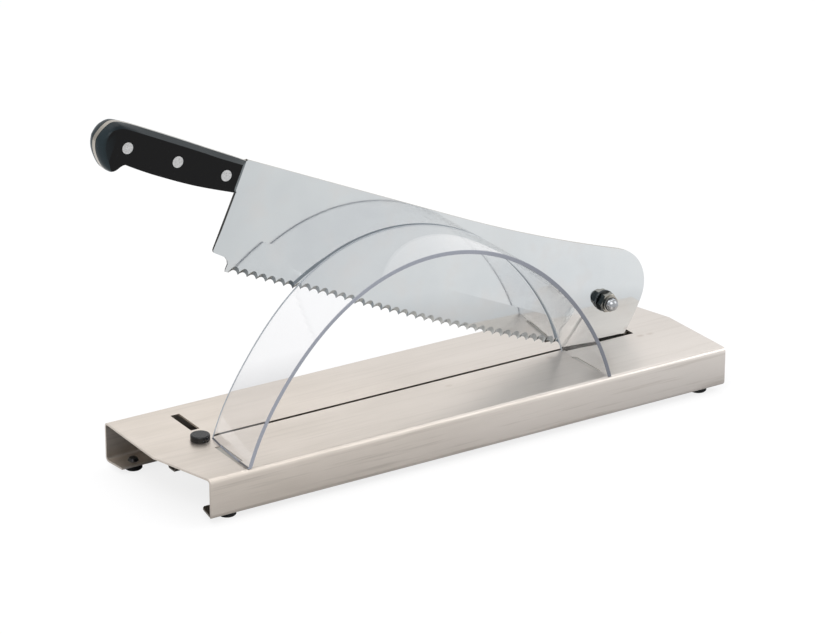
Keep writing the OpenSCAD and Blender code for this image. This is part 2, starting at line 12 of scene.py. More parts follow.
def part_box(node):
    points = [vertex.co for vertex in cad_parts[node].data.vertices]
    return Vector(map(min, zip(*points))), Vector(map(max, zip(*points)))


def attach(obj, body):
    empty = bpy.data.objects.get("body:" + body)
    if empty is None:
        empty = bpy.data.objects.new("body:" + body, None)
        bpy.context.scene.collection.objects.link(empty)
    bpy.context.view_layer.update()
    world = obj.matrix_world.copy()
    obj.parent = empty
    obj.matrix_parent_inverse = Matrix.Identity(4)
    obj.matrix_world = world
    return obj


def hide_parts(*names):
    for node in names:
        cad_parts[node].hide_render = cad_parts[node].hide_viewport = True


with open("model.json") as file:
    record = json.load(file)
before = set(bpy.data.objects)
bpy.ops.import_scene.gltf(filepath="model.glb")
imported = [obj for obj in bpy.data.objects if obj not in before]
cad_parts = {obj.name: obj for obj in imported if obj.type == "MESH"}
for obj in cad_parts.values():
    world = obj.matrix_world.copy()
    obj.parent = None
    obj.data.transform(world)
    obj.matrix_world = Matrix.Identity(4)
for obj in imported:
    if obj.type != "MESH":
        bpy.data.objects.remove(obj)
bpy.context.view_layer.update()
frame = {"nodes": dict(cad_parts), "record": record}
nodes = frame["nodes"]
MM = 0.001
WHITE = (1, 1, 1, 1)

# Camera, solved on the photograph's base edges
CAMERA_PLACE = (-1.24241, -1.97566, 1.04551)
CAMERA_YAW = 32.25
CAMERA_PITCH = 22.26
FOCAL_PIXELS = 3550.1
PICTURE_WIDTH = 817
SENSOR = 36.0
CLIP_START = 0.05
CLIP_END = 50


def make_camera():
    camera = bpy.data.objects.new("camera", bpy.data.cameras.new("camera"))
    bpy.context.scene.collection.objects.link(camera)
    camera.location = CAMERA_PLACE
    camera.rotation_euler = (math.radians(90 - CAMERA_PITCH), 0, -math.radians(CAMERA_YAW))
    camera.data.sensor_width = SENSOR
    camera.data.lens = FOCAL_PIXELS / PICTURE_WIDTH * SENSOR
    camera.data.clip_start = CLIP_START
    camera.data.clip_end = CLIP_END
    bpy.context.scene.camera = camera


make_camera()


# Materials
def srgb(r, g, b):
    """A colour written as 0 to 255, as a linear colour."""
    def line(c):
        c = c / 255
        return c / 12.92 if c <= 0.04045 else ((c + 0.055) / 1.055) ** 2.4
    return (line(r), line(g), line(b), 1)


def shifted(tone, change):
    return srgb(*[c + change for c in tone])


class Nodes:
    """A node tree, written in the order in which its nodes feed each other."""

    def __init__(self, tree):
        self.tree = tree

    def node(self, kind, inputs=None, **settings):
        made = self.tree.nodes.new(kind)
        for name, value in settings.items():
            setattr(made, name, value)
        for name, value in (inputs or {}).items():
            self.feed(made.inputs[name], value)
        return made

    def feed(self, socket, value):
        if isinstance(value, bpy.types.NodeSocket):
            self.tree.links.new(value, socket)
        else:
            socket.default_value = value

    def math(self, operation, *values):
        return self.node("ShaderNodeMath", dict(enumerate(values)), operation=operation).outputs[0]

    def axis(self, kind, letter):
        """One part of the object's own position ("Object") or of its surface's direction ("Normal")."""
        where = self.node("ShaderNodeTexCoord").outputs[kind]
        return self.node("ShaderNodeSeparateXYZ", {0: where}).outputs[letter]

    def place(self, scale=(1, 1, 1)):
        """The object's own position, stretched."""
        where = self.node("ShaderNodeTexCoord").outputs["Object"]
        return self.node("ShaderNodeMapping", {"Vector": where, "Scale": scale}).outputs[0]

    def noise(self, vector, scale, detail, roughness):
        return self.node("ShaderNodeTexNoise", {"Vector": vector, "Scale": scale, "Detail": detail,
                                                "Roughness": roughness}).outputs["Fac"]

    def ramp(self, value, low, high, out_low, out_high, **settings):
        return self.node("ShaderNodeMapRange", {"Value": value, "From Min": low, "From Max": high,
                                                "To Min": out_low, "To Max": out_high}, **settings).outputs[0]

    def mix(self, factor, a, b):
        """A mix of two colours."""
        made = self.node("ShaderNodeMix", data_type="RGBA")
        for name, kind, value in (("Factor", "VALUE", factor), ("A", "RGBA", a), ("B", "RGBA", b)):
            self.feed([s for s in made.inputs if s.name == name and s.type == kind][0], value)
        return [s for s in made.outputs if s.type == "RGBA"][0]

    def for_gloss(self, value):
        """The value in reflections, and 1 elsewhere."""
        glossy = self.node("ShaderNodeLightPath").outputs["Is Glossy Ray"]
        return self.node("ShaderNodeMix", {0: glossy, 2: 1.0, 3: value}).outputs[0]

    def seen_directly(self):
        """1 for what the camera sees itself, in a mirror or through glass, and 0 for light on the object."""
        path = self.node("ShaderNodeLightPath").outputs
        seen = self.math("MAXIMUM", path["Is Camera Ray"], path["Is Glossy Ray"])
        return self.math("MAXIMUM", seen, path["Is Transmission Ray"])


class Graph(Nodes):
    """The nodes of one new material."""

    def __init__(self, name):
        self.material = bpy.data.materials.new(name)
        self.material.use_nodes = True
        super().__init__(self.material.node_tree)
        self.shader = self.tree.nodes["Principled BSDF"]
        self.output = self.tree.nodes["Material Output"]

    def set(self, **values):
        for name, value in values.items():
            self.shader.inputs[name.replace("_", " ")].default_value = value
        return self

    def link(self, socket, name):
        self.tree.links.new(socket, self.shader.inputs[name])

    def bump(self, height, strength, distance):
        made = self.node("ShaderNodeBump", {"Height": height, "Strength": strength, "Distance": distance})
        self.link(made.outputs[0], "Normal")


BRUSH_STRETCH = (3, 260, 260)
BRUSH_SPREAD = 0.5
BRUSH_DEPTH = 0.02
CLOUD_STRETCH = (1, 4, 4)
NEUTRAL_FROM = -0.12
NEUTRAL_TO = 0.18
NEUTRAL_PART = 0.55
STREAK_STRETCH = (2, 60, 60)
STREAK_GREY = 0.78
STREAK_ON_TOP = 0.22
STREAK_AND_SHADE_ON_SIDES = 0.62

# Weld spots on the top plate: X and Y in millimetres, and strength
WELDS = ((30.3, -12.8, 0.5), (120.7, -8.9, 0.7), (201.2, -10.1, 0.8), (209.4, -10.7, 0.6))
WELD_SQUASH = 1.6
WELD_CORE = 0.001
WELD_RIM = 0.0042
WELD_PART = 0.35
WELD_TONE = srgb(148, 126, 104)


def brushed(name, light, dark, neutral, roughness, welds=()):
    """Steel with fine lines along X, broad soft changes of tone and long grey streaks, stronger on upright
    sides, where they also darken the sides as painted shade.
    """
    g = Graph(name).set(Metallic=1.0, Anisotropic=BRUSH_SPREAD)
    lines = g.noise(g.place(BRUSH_STRETCH), 12.0, 6.0, 0.7)
    clouds = g.noise(g.place(CLOUD_STRETCH), 11.0, 4.0, 0.55)
    colour = g.mix(g.ramp(g.math("ADD", lines, clouds), 0.75, 1.25, 0, 1), srgb(*dark), srgb(*light))
    to_neutral = g.ramp(g.axis("Object", "X"), NEUTRAL_FROM, NEUTRAL_TO, 0, NEUTRAL_PART)
    colour = g.mix(to_neutral, colour, srgb(*neutral))
    streak = g.ramp(g.noise(g.place(STREAK_STRETCH), 6.0, 3.0, 0.6), 0.5, 0.7, 0, 1)
    # Painted shade: the streaks are stronger on upright sides, which makes the walls darker than the top
    upright = g.math("ABSOLUTE", g.axis("Normal", "Y"))
    part = g.math("MULTIPLY", streak, g.ramp(upright, 0.2, 0.9, STREAK_ON_TOP, STREAK_AND_SHADE_ON_SIDES))
    colour = g.mix(part, colour, tuple(STREAK_GREY * c for c in srgb(*dark)[:3]) + (1,))
    for x, y, strength in welds:
        gap = g.node("ShaderNodeVectorMath", {0: g.place((1, WELD_SQUASH, 0)),
                                              1: (x * MM, WELD_SQUASH * y * MM, 0)}, operation="DISTANCE")
        spot = g.ramp(gap.outputs["Value"], WELD_CORE, WELD_RIM, WELD_PART * strength, 0)
        colour = g.mix(spot, colour, WELD_TONE)
    g.link(colour, "Base Color")
    g.link(g.ramp(lines, 0.3, 0.7, roughness - 0.05, roughness + 0.07), "Roughness")
    g.bump(lines, 0.15, BRUSH_DEPTH * MM)
    return g.material


sheet_steel = brushed("sheet_steel", (222, 213, 204), (209, 200, 190), (221, 217, 214), 0.36, WELDS)
channel_steel = brushed("channel_steel", (128, 122, 115), (100, 94, 87), (112, 108, 102), 0.45)

# The arm at rest is raised, and ARM_DOWN points from the blade's spine to its teeth
RAISED = math.radians(24)
ARM_DOWN = (-math.sin(RAISED), 0, -math.cos(RAISED))
# Where the painted shade along the blade fades, from darker at the left to lighter at the right
BLADE_SHADE_FROM = -0.14
BLADE_SHADE_TO = 0.15
TOOTH_FROM = -0.101
TOOTH_TO = -0.095
TEETH_LEFT = -0.15
TEETH_RIGHT = 0.06
BLADE_END_FROM = -0.2
BLADE_END_TO = -0.19


def make_blade_steel():
    """Polished steel with faint patches and painted shade darker towards the left, darker ground teeth whose
    bevels carry painted shade darker towards the left, plain edges and a dark left end of painted shade.
    """
    g = Graph("blade_steel").set(Metallic=1.0)
    along = g.axis("Object", "X")
    flat = g.math("ABSOLUTE", g.axis("Normal", "Y"))
    down = g.node("ShaderNodeVectorMath", {0: g.node("ShaderNodeTexCoord").outputs["Object"], 1: ARM_DOWN},
                  operation="DOT_PRODUCT").outputs["Value"]
    # Painted shade: the face is darker towards the left and lighter towards the right; the cloud patches
    # between polished and worn tones are the steel's own
    painted_shading_to_right = g.ramp(along, BLADE_SHADE_FROM, BLADE_SHADE_TO, 0, 1)
    polished_and_shade = g.mix(painted_shading_to_right, srgb(198, 202, 203), srgb(217, 220, 221))
    worn_and_shade = g.mix(painted_shading_to_right, srgb(191, 195, 197), srgb(209, 213, 215))
    clouds = g.noise(g.place(), 16.0, 3.0, 0.5)
    face = g.mix(g.ramp(clouds, 0.35, 0.65, 0, 1), worn_and_shade, polished_and_shade)
    tint = g.noise(g.place(), 31.0, 3.0, 0.6)
    face = g.mix(g.ramp(tint, 0.5, 0.75, 0, 0.3), face, srgb(205, 197, 192))
    tooth = g.ramp(down, TOOTH_FROM, TOOTH_TO, 0, 1)
    bevel = g.math("MULTIPLY", g.ramp(flat, 0.97, 0.995, 1, 0), tooth)
    # Painted shade: the ground bevels of the teeth are dark at the left and lighter towards the right
    teeth_painted_shade = g.ramp(along, TEETH_LEFT, TEETH_RIGHT, 0, 1)
    face = g.mix(bevel, face, g.mix(teeth_painted_shade, srgb(117, 121, 122), srgb(174, 181, 185)))
    ground = g.mix(tooth, srgb(176, 171, 162), srgb(58, 55, 51))
    # Painted shade: the blade's left end face, turned to -X, is darkened
    end = g.math("MULTIPLY", g.ramp(g.axis("Normal", "X"), -0.6, -0.85, 0, 1),
                 g.ramp(along, BLADE_END_FROM, BLADE_END_TO, 0, 1))
    edge = g.ramp(flat, 0.45, 0.75, 1, 0)
    g.link(g.mix(edge, face, g.mix(end, ground, srgb(78, 77, 75))), "Base Color")
    fine = g.noise(g.place((8, 8, 240)), 9.0, 4.0, 0.6)
    g.link(g.math("ADD", g.ramp(fine, 0.3, 0.7, 0.03, 0.075), g.ramp(edge, 0, 1, 0, 0.2)), "Roughness")
    return g.material


blade_steel = make_blade_steel()


def make_plain_steel(name, tone, roughness, grain=420.0, change=7):
    g = Graph(name).set(Metallic=1.0)
    clouds = g.noise(g.place(), grain, 3.0, 0.6)
    colour = g.mix(g.ramp(clouds, 0.3, 0.7, 0, 1), shifted(tone, -change), shifted(tone, change))
    g.link(colour, "Base Color")
    g.link(g.ramp(clouds, 0.3, 0.7, roughness - 0.04, roughness + 0.06), "Roughness")
    return g.material


fastener_steel = make_plain_steel("fastener_steel", (190, 190, 188), 0.3)
bright_steel = make_plain_steel("bright_steel", (206, 207, 209), 0.14)
dome_steel = make_plain_steel("dome_steel", (156, 158, 161), 0.2)
washer_steel = make_plain_steel("washer_steel", (78, 82, 84), 0.2)
rivet_metal = make_plain_steel("rivet_metal", (186, 186, 186), 0.3, grain=1300.0, change=24)


def make_nut_steel():
    """Plated steel, with the left flats darkened as painted shade, so that the upper ones show lighter."""
    g = Graph("nut_steel").set(Metallic=1.0)
    marks = g.noise(g.place(), 500.0, 3.0, 0.6)
    # Painted shade: flats facing -X are dark, the rest light
    colour = g.mix(g.ramp(g.axis("Normal", "X"), -0.75, -0.1, 0, 1), srgb(42, 50, 53), srgb(178, 174, 166))
    g.link(g.mix(g.ramp(marks, 0.4, 0.7, 0, 0.25), colour, srgb(96, 96, 92)), "Base Color")
    g.link(g.ramp(marks, 0.3, 0.7, 0.1, 0.2), "Roughness")
    return g.material


nut_steel = make_nut_steel()

SPECK_DEPTH = 0.05
CLOUDS_PER_GRAIN = 1 / 20
CLOUD_CHANGE = 4


def make_moulded(name, tone, roughness, grain, **more):
    """Moulded plastic or rubber, with fine specks and faint clouds."""
    g = Graph(name).set(**more)
    speck = g.noise(g.place(), grain, 4.0, 0.6)
    cloud = g.noise(g.place(), grain * CLOUDS_PER_GRAIN, 2.0, 0.5)
    g.link(g.mix(cloud, srgb(*tone), shifted(tone, CLOUD_CHANGE)), "Base Color")
    g.link(g.ramp(speck, 0.3, 0.7, roughness - 0.06, roughness + 0.08), "Roughness")
    g.bump(speck, 0.2, SPECK_DEPTH * MM)
    return g.material


def make_handle_plastic():
    """Satin black plastic, with a painted blue-grey reflection on its butt and its top slope."""
    g = Graph("handle_plastic").set(Specular_IOR_Level=0.16, Sheen_Weight=0.3, Sheen_Roughness=0.25,
                                    Sheen_Tint=srgb(190, 215, 225))
    speck = g.noise(g.place(), 2600.0, 4.0, 0.6)
    # Painted reflection: surfaces facing up and facing -X are coloured blue-grey
    colour = g.mix(g.ramp(g.axis("Normal", "Z"), 0.3, 0.7, 0, 1), srgb(3, 3, 4), srgb(14, 25, 30))
    colour = g.mix(g.ramp(g.axis("Normal", "X"), -0.08, -0.7, 0, 1), colour, srgb(34, 46, 51))
    g.link(colour, "Base Color")
    g.link(g.ramp(speck, 0.3, 0.7, 0.22, 0.36), "Roughness")
    g.bump(speck, 0.15, SPECK_DEPTH * MM)
    return g.material


handle_plastic = make_handle_plastic()
black_rubber = make_moulded("black_rubber", (6, 8, 12), 0.26, 1800.0, Specular_IOR_Level=0.35)
dark_nylon = make_moulded("dark_nylon", (34, 37, 44), 0.4, 1500.0)
white_plastic = make_moulded("white_plastic", (214, 213, 208), 0.45, 1500.0)

CLEAR_IOR = 1.49
SAW_STRETCH = (90, 1, 90)
SAW_DEPTH = 0.02
# Where the painted tone at the right of the guard's edges begins and ends
RIGHT_FROM = 0.02
RIGHT_TO = 0.12


def make_clear_sheet():
    g = Graph("clear_sheet").set(Roughness=0.0, IOR=CLEAR_IOR, Transmission_Weight=1.0)
    haze = g.noise(g.place(), 60.0, 2.0, 0.5)
    g.link(g.mix(haze, srgb(251, 251, 252), srgb(253, 253, 254)), "Base Color")
    return g.material


def make_clear_edge(name, dark, light, right, glow):
    """A sawn edge of the clear sheet, with a painted glow that stands in for the light the sheet carries to it,
    and towards the right a tone of painted shade on the edges and of painted light on the tabs.
    """
    # Painted light: the edge glows with its light colour
    g = Graph(name).set(Roughness=0.32, IOR=CLEAR_IOR, Emission_Strength=glow, Emission_Color=srgb(*light))
    saw = g.noise(g.place(SAW_STRETCH), 22.0, 3.0, 0.6)
    colour = g.mix(g.ramp(saw, 0.3, 0.7, 0, 1), srgb(*dark), srgb(*light))
    # Painted shade and light: towards the right the edge turns to its right tone
    painted_shading_to_right = g.ramp(g.axis("Object", "X"), RIGHT_FROM, RIGHT_TO, 0, 1)
    g.link(g.mix(painted_shading_to_right, colour, srgb(*right)), "Base Color")
    g.bump(saw, 0.2, SAW_DEPTH * MM)
    return g.material


clear_sheet = make_clear_sheet()
# The right tones are painted shade on the front and far edges and painted light on the tabs; all three glow as
# painted light
clear_edge = make_clear_edge("clear_edge", (104, 107, 115), (130, 133, 142), (52, 55, 62), 0.55)
clear_far = make_clear_edge("clear_far", (88, 92, 97), (136, 141, 146), (76, 80, 85), 1.0)
clear_tab = make_clear_edge("clear_tab", (128, 124, 118), (146, 142, 136), (180, 175, 167), 0.35)

FINISH = {
    "base_plate": sheet_steel, "slot_channel": channel_steel, "pivot_bracket": channel_steel,
    "bracket_screws": fastener_steel, "bracket_washers": fastener_steel, "bracket_nuts": fastener_steel,
    "foot_front_left": black_rubber, "foot_front_right": black_rubber,
    "foot_back_left": black_rubber, "foot_back_right": black_rubber,
    "stop_bumper": black_rubber, "stop_stud": fastener_steel, "stop_washer": fastener_steel,
    "stop_nut": fastener_steel, "guard": clear_sheet, "pivot_bolt": bright_steel,
    "bolt_washer": fastener_steel, "pivot_nut": nut_steel, "nut_ring": dark_nylon,
    "nut_washer": washer_steel, "friction_washer": dark_nylon, "blade": blade_steel,
    "blade_bush": white_plastic, "handle_scale_front": handle_plastic, "handle_scale_rear": handle_plastic,
    "rivet_pins": rivet_metal, "rivet_tubes": rivet_metal,
}


def finish_node(node, material):
    if not node.material_slots:
        node.data.materials.append(material)
    for slot in node.material_slots:
        slot.material = material


for node_name, node_material in FINISH.items():
    finish_node(nodes[node_name], node_material)


# Shapes that the solids only block out
HINGE = frame["record"]["behaviour"]["joints"][0]["pos_m"]
HINGE_U = 341.2
HINGE_V = 31.0


def on_arm(u, y, v):
    """A point of the arm: u along the blade from the handle's front, v down from its spine."""
    a, b = (u - HINGE_U) * MM, (v - HINGE_V) * MM
    return Vector((HINGE[0] + a * math.cos(RAISED) - b * math.sin(RAISED), y * MM,
                   HINGE[2] - a * math.sin(RAISED) - b * math.cos(RAISED)))


def curve_through(points, steps):
    """A smooth line through the points, in that many steps from each point to the next."""
    out = []
    ends = [points[0]] + list(points) + [points[-1]]
    for i in range(len(points) - 1):
        p0, p1, p2, p3 = (Vector(p) for p in ends[i:i + 4])
        for k in range(steps):
            t = k / steps
            out.append(0.5 * ((2 * p1) + (p2 - p0) * t + (2 * p0 - 5 * p1 + 4 * p2 - p3) * t * t
                              + (3 * p1 - p0 - 3 * p2 + p3) * t ** 3))
    out.append(Vector(points[-1]))
    return out


def even(points, count):
    """The same line with evenly spaced points, without its last one."""
    far = [0.0]
    for a, b in zip(points, points[1:]):
        far.append(far[-1] + (b - a).length)
    out = []
    i = 0
    for k in range(count):
        want = far[-1] * k / count
        while far[i + 1] < want:
            i += 1
        part = (want - far[i]) / max(far[i + 1] - far[i], 1e-9)
        out.append(points[i].lerp(points[i + 1], part))
    return out


def between_rings(rings, count):
    """Faces that join each closed ring of points to the next one."""
    return [(i * count + k, i * count + (k + 1) % count, (i + 1) * count + (k + 1) % count, (i + 1) * count + k)
            for i in range(rings - 1) for k in range(count)]


def make_piece(name, verts, faces, body, materials, sharp, tones=None):
    """A smooth piece with edges sharper than the given angle kept, and tones as its faces' materials."""
    mesh = bpy.data.meshes.new(name)
    mesh.from_pydata([tuple(v) for v in verts], [], faces)
    bm = bmesh.new()
    bm.from_mesh(mesh)
    bmesh.ops.recalc_face_normals(bm, faces=bm.faces)
    bm.to_mesh(mesh)
    bm.free()
    for material in materials:
        mesh.materials.append(material)
    if tones:
        mesh.polygons.foreach_set("material_index", tones)
    mesh.polygons.foreach_set("use_smooth", [True] * len(mesh.polygons))
    mesh.set_sharp_from_angle(angle=math.radians(sharp))
    piece = bpy.data.objects.new(name, mesh)
    bpy.context.scene.collection.objects.link(piece)
    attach(piece, body)
    return piece


# Guard: one bent clear sheet, with rounded edges and a tab at each foot
GUARD_X = -11.6
GUARD_FRONT = -60.7
GUARD_BACK = -2.5
GUARD_SHEET = 3.0
GUARD_ROUND = 0.35
GUARD_FRONT_RADII = (171.6, 150.9, 133.1, 126.5, 125.4, 125.6, 126.3, 128.9, 135.7, 150.4, 167.9)
GUARD_BACK_RADII = (166.0, 147.0, 129.0, 125.4, 126.6, 126.4, 126.6, 128.9, 135.0, 148.8, 166.5)
GUARD_STEPS = 180
GUARD_SHARP = 40
PLATE_TOP = 34.8
TAB_END = 28.8
TAB_TOP = 34.5
TAB_NEAR = -46.3
TAB_FAR = -17.3
TAB_SPANS = ((-164.3, -157.8), (134.5, 141.0))
CLEAR, EDGE, TAB, FAR = range(4)
GUARD_TONES = [EDGE] + [CLEAR] * 3 + [FAR] * 3 + [CLEAR] * 3 + [EDGE] * 2
BLOCK_FACES = ((0, 1, 2, 3), (4, 5, 6, 7), (0, 1, 5, 4), (1, 2, 6, 5), (2, 3, 7, 6), (3, 0, 4, 7))


def spline(values, t):
    """A uniform cubic B-spline, with t from 0 to 1."""
    spans = len(values) - 3
    k = min(int(t * spans), spans - 1)
    f = t * spans - k
    weights = ((1 - f) ** 3, 3 * f ** 3 - 6 * f * f + 4, -3 * f ** 3 + 3 * f * f + 3 * f + 1, f ** 3)
    return sum(w * v for w, v in zip(weights, values[k:k + 4])) / 6


def guard_row(radii):
    """Outer and inner points of the arch at one place across it, from the left foot to the right one."""
    outer = []
    for i in range(GUARD_STEPS + 1):
        turn = math.pi * (1 - i / GUARD_STEPS)
        r = spline(radii, i / GUARD_STEPS)
        outer.append(Vector((GUARD_X + r * math.cos(turn), r * math.sin(turn))))
    inner = []
    for i, p in enumerate(outer):
        run = (outer[min(i + 1, GUARD_STEPS)] - outer[max(i - 1, 0)]).normalized()
        inner.append(p + GUARD_SHEET * Vector((run.y, -run.x)))
    outer[0].y = outer[-1].y = inner[0].y = inner[-1].y = 0
    return outer, inner


def guard_section():
    """Points round the sheet's section: the place across it, and the depth below its outer side."""
    across = (GUARD_FRONT + GUARD_ROUND, TAB_NEAR, TAB_FAR, GUARD_BACK - GUARD_ROUND)
    low = GUARD_SHEET - GUARD_ROUND
    return ([(GUARD_FRONT, GUARD_ROUND)] + [(y, 0) for y in across]
            + [(GUARD_BACK, GUARD_ROUND), (GUARD_BACK, low)]
            + [(y, GUARD_SHEET) for y in reversed(across)] + [(GUARD_FRONT, low)])


def make_guard():
    front = guard_row(GUARD_FRONT_RADII)
    back = guard_row(GUARD_BACK_RADII)
    section = guard_section()
    count = len(section)
    verts = []
    for i in range(GUARD_STEPS + 1):
        for y, depth in section:
            across = ((y - GUARD_FRONT) / (GUARD_BACK - GUARD_FRONT)) ** 2
            outer = front[0][i].lerp(back[0][i], across)
            inner = front[1][i].lerp(back[1][i], across)
            p = outer.lerp(inner, depth / GUARD_SHEET)
            verts.append(Vector((p.x, y, p.y + PLATE_TOP)) * MM)
    faces = between_rings(GUARD_STEPS + 1, count)
    faces += [tuple(range(at, at + count)) for at in (0, GUARD_STEPS * count)]
    tones = GUARD_TONES * GUARD_STEPS + [EDGE] * 2
    for low, high in TAB_SPANS:
        new = len(verts)
        verts += [Vector((x, y, z)) * MM for z in (TAB_END, TAB_TOP) for x, y in
                  ((low, TAB_NEAR), (high, TAB_NEAR), (high, TAB_FAR), (low, TAB_FAR))]
        faces += [tuple(new + k for k in quad) for quad in BLOCK_FACES]
        tones += [TAB] * len(BLOCK_FACES)
    piece = make_piece("guard_sheet", verts, faces, "base", (clear_sheet, clear_edge, clear_tab, clear_far),
                       GUARD_SHARP, tones)
    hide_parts("guard")


make_guard()

# The bolt's polished end and the ring round it: radius and Y
RING_PROFILE = ((5.15, -8.4), (5.15, -10.75), (4.95, -10.95), (4.85, -10.95))
DOME_RADIUS = 4.8
DOME_BASE = -11.0
DOME_LENGTH = 5.0
DOME_STEPS = 14
TURN_STEPS = 56
RING_SHARP = 40
RING, DOME = range(2)


def make_ring_end():
    angles = [math.pi / 2 * k / DOME_STEPS for k in range(DOME_STEPS)]
    profile = list(RING_PROFILE)
    profile += [(DOME_RADIUS * math.cos(a), DOME_BASE - DOME_LENGTH * math.sin(a)) for a in angles]
    verts = []
    for r, y in profile:
        for k in range(TURN_STEPS):
            turn = 2 * math.pi * k / TURN_STEPS
            verts.append(Vector((HINGE[0] + r * MM * math.cos(turn), y * MM,
                                 HINGE[2] + r * MM * math.sin(turn))))
    last = len(verts) - TURN_STEPS
    tip = len(verts)
    verts.append(Vector((HINGE[0], (DOME_BASE - DOME_LENGTH) * MM, HINGE[2])))
    faces = between_rings(len(profile), TURN_STEPS)
    faces += [(last + k, last + (k + 1) % TURN_STEPS, tip) for k in range(TURN_STEPS)]
    faces.append(tuple(range(TURN_STEPS)))
    ring_faces = len(RING_PROFILE) * TURN_STEPS
    tones = [RING] * ring_faces + [DOME] * (len(faces) - ring_faces - 1) + [RING]
    piece = make_piece("ring_end", verts, faces, "base", (dark_nylon, dome_steel),
                       RING_SHARP, tones)
    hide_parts("nut_ring")


make_ring_end()

# Handle scales: a flat slope along the top, a rounded butt and hook, and a nearly square belly.
# The outlines beside the tang and on the outer face are u and v, from the front round the butt and back.
TANG_OUTLINE = (
    (-0.5, 1.0), (-10.7, 0.4), (-33.0, -0.4), (-60.0, -1.5), (-93.0, -2.4), (-103.0, -2.2), (-109.0, -1.5),
    (-112.8, 0.2), (-115.9, 4.0), (-118.2, 9.0), (-119.2, 13.3), (-118.2, 17.5), (-116.0, 21.8),
    (-112.4, 26.0), (-108.4, 29.4), (-105.0, 31.2), (-103.2, 31.6), (-101.4, 30.6), (-99.7, 27.6),
    (-97.6, 25.2), (-95.0, 24.1), (-90.0, 24.5), (-76.0, 25.3), (-52.0, 25.7), (-30.0, 25.0),
    (-10.0, 23.4), (-0.5, 23.0))
FACE_OUTLINE = (
    (-7.0, 3.3), (-17.4, 3.1), (-28.2, 2.9), (-39.1, 2.3), (-49.8, 1.9), (-60.3, 1.6), (-85.0, 0.9),
    (-102.8, 0.5), (-106.4, 0.8), (-109.9, 2.0), (-113.1, 4.1), (-114.7, 6.9), (-115.4, 10.1),
    (-115.0, 13.5), (-113.9, 16.8), (-111.6, 20.7), (-109.2, 23.7), (-106.8, 27.0), (-105.0, 29.6),
    (-103.4, 30.4), (-101.7, 29.6), (-100.1, 28.0), (-98.6, 26.0), (-96.8, 24.4), (-95.4, 23.7),
    (-89.6, 24.3), (-76.3, 25.2), (-63.2, 25.5), (-50.0, 25.6), (-36.9, 25.3), (-24.0, 24.5),
    (-11.0, 23.4), (-7.2, 22.9))
# The outlines' points at which a span begins, the points made in each span, and how each span's side
# runs from the tang's outline to the face's as the depth goes from 0 to 1
TANG_MARKS = (0, 5, 10, 16, 20, 26)
FACE_MARKS = (0, 7, 12, 19, 24, 32)
SPAN_POINTS = (44, 18, 26, 14, 44, 14)
SLOPE = ((0, 0), (1, 1))
ROUND = ((0, 0), (0.2, 0.03), (0.4, 0.11), (0.55, 0.22), (0.7, 0.38), (0.8, 0.53), (0.9, 0.74), (1, 1))
SQUARE = ((0, 0), (0.82, 0), (0.9, 0.15), (0.96, 0.45), (1, 1))
SPAN_KINDS = (SLOPE, ROUND, ROUND, ROUND, SQUARE, SLOPE)
KIND_BLEND = 5
DEPTHS = (0, 0.05, 0.2, 0.4, 0.5, 0.6, 0.68, 0.75, 0.81, 0.86, 0.9, 0.94, 0.97, 1)
CURVE_STEPS = 8
JOINT_EDGE = 0.45
SCALE_T = 7.4
SCALE_SHARP = 38
TANG_FRONT = -1.5
TANG_BACK = 2.5
RIVETS = ((-98.2, 12.6), (-57.4, 12.8), (-17.0, 13.2))
RIVET_HOLE = 4.55
RIVET_DEPTH = 1.3
RIVET_SIDES = 48


def read_off(table, x):
    for (x0, y0), (x1, y1) in zip(table, table[1:]):
        if x <= x1:
            return y0 + (y1 - y0) * (x - x0) / (x1 - x0)
    return table[-1][1]


def outline(points, marks):
    """The closed outline in spans between its marks, so that two outlines match point by point."""
    out = []
    for a, b, count in zip(marks, marks[1:], SPAN_POINTS):
        out += even(curve_through(points[a:b + 1], CURVE_STEPS), count)
    last = [Vector(points[marks[-1]]), Vector(points[marks[0]])]
    return out + even(last, SPAN_POINTS[-1])


def cut_rivet_holes(piece, plane, side):
    """Shallow round holes in the outer face, in which the rivets' heads show."""
    bm = bmesh.new()
    for u, v in RIVETS:
        at = on_arm(u, plane + side * SCALE_T, v)
        turn = Matrix.Translation(at) @ Matrix.Rotation(math.radians(90), 4, "X")
        bmesh.ops.create_cone(bm, cap_ends=True, segments=RIVET_SIDES, radius1=RIVET_HOLE * MM,
                              radius2=RIVET_HOLE * MM, depth=2 * RIVET_DEPTH * MM, matrix=turn)
    holes = bpy.data.meshes.new("holes")
    bm.to_mesh(holes)
    bm.free()
    cutter = bpy.data.objects.new("cutter", holes)
    bpy.context.scene.collection.objects.link(cutter)
    cut = piece.modifiers.new("cut", "BOOLEAN")
    cut.object = cutter
    cut.operation = "DIFFERENCE"
    done = bpy.data.meshes.new_from_object(piece.evaluated_get(bpy.context.evaluated_depsgraph_get()))
    piece.modifiers.clear()
    piece.data = done
    done.set_sharp_from_angle(angle=math.radians(SCALE_SHARP))
    bpy.data.objects.remove(cutter)
    bpy.data.meshes.remove(holes)


